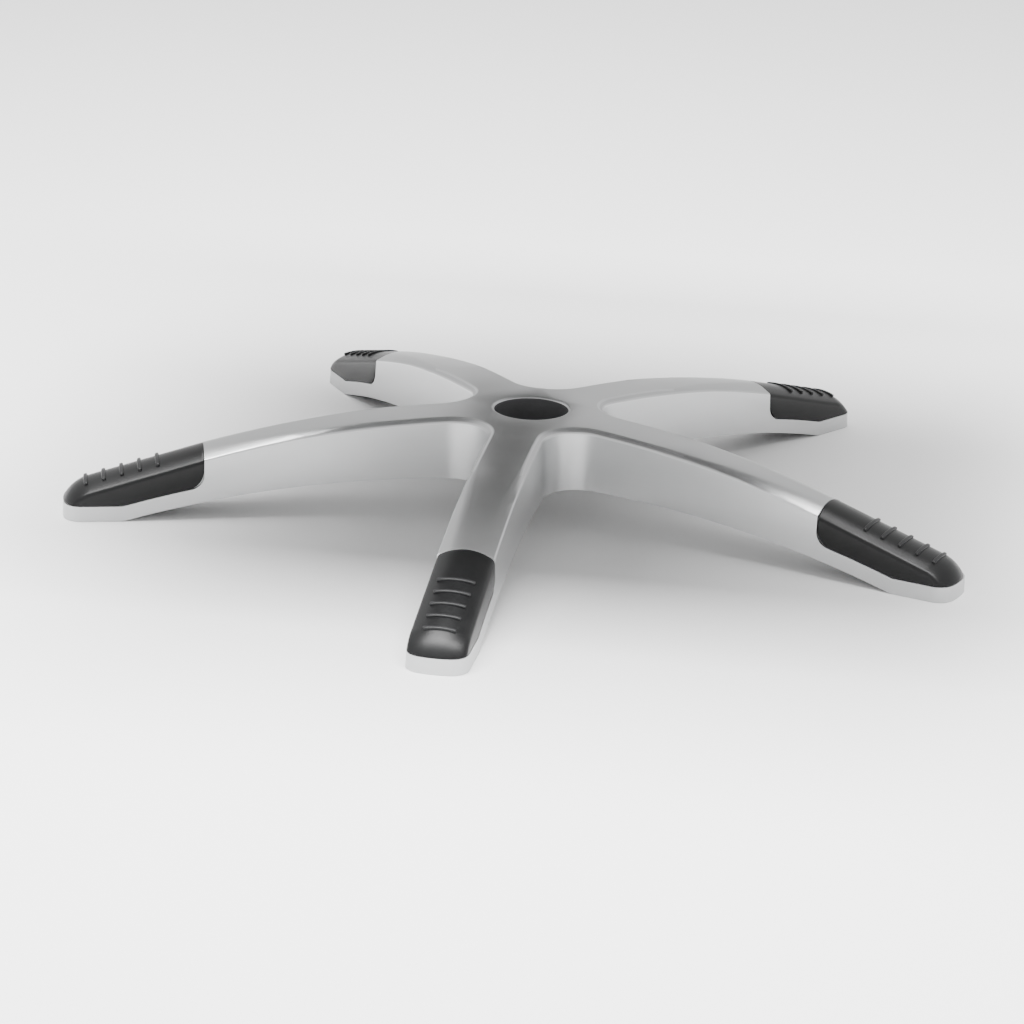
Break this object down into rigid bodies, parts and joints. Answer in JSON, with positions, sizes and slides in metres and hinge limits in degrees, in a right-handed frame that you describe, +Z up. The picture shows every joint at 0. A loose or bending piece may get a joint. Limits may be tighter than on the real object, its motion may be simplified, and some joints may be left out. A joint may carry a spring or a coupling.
{
  "type": "chair base",
  "caption": "Star-shaped swivel chair base with arched hollow arms, a tapered hub socket for the gas column and ridged clip-on foot pads above the caster sockets.",
  "frame": {"origin": "on the hub axis, at the mouth of the column taper", "axes": "+Z up along the column, -Y along the first arm"},
  "size_m": [0.6098, 0.5816, 0.0712],
  "materials": {
    "silver_paint": "satin silver paint on glass-filled nylon",
    "black_pad": "charcoal black polypropylene with a fine grain"
  },
  "bodies": {
    "root": {"star_frame": "silver_paint", "foot_pad_1": "black_pad", "foot_pad_2": "black_pad", "foot_pad_3": "black_pad", "foot_pad_4": "black_pad", "foot_pad_5": "black_pad"}
  },
  "joints": []
}
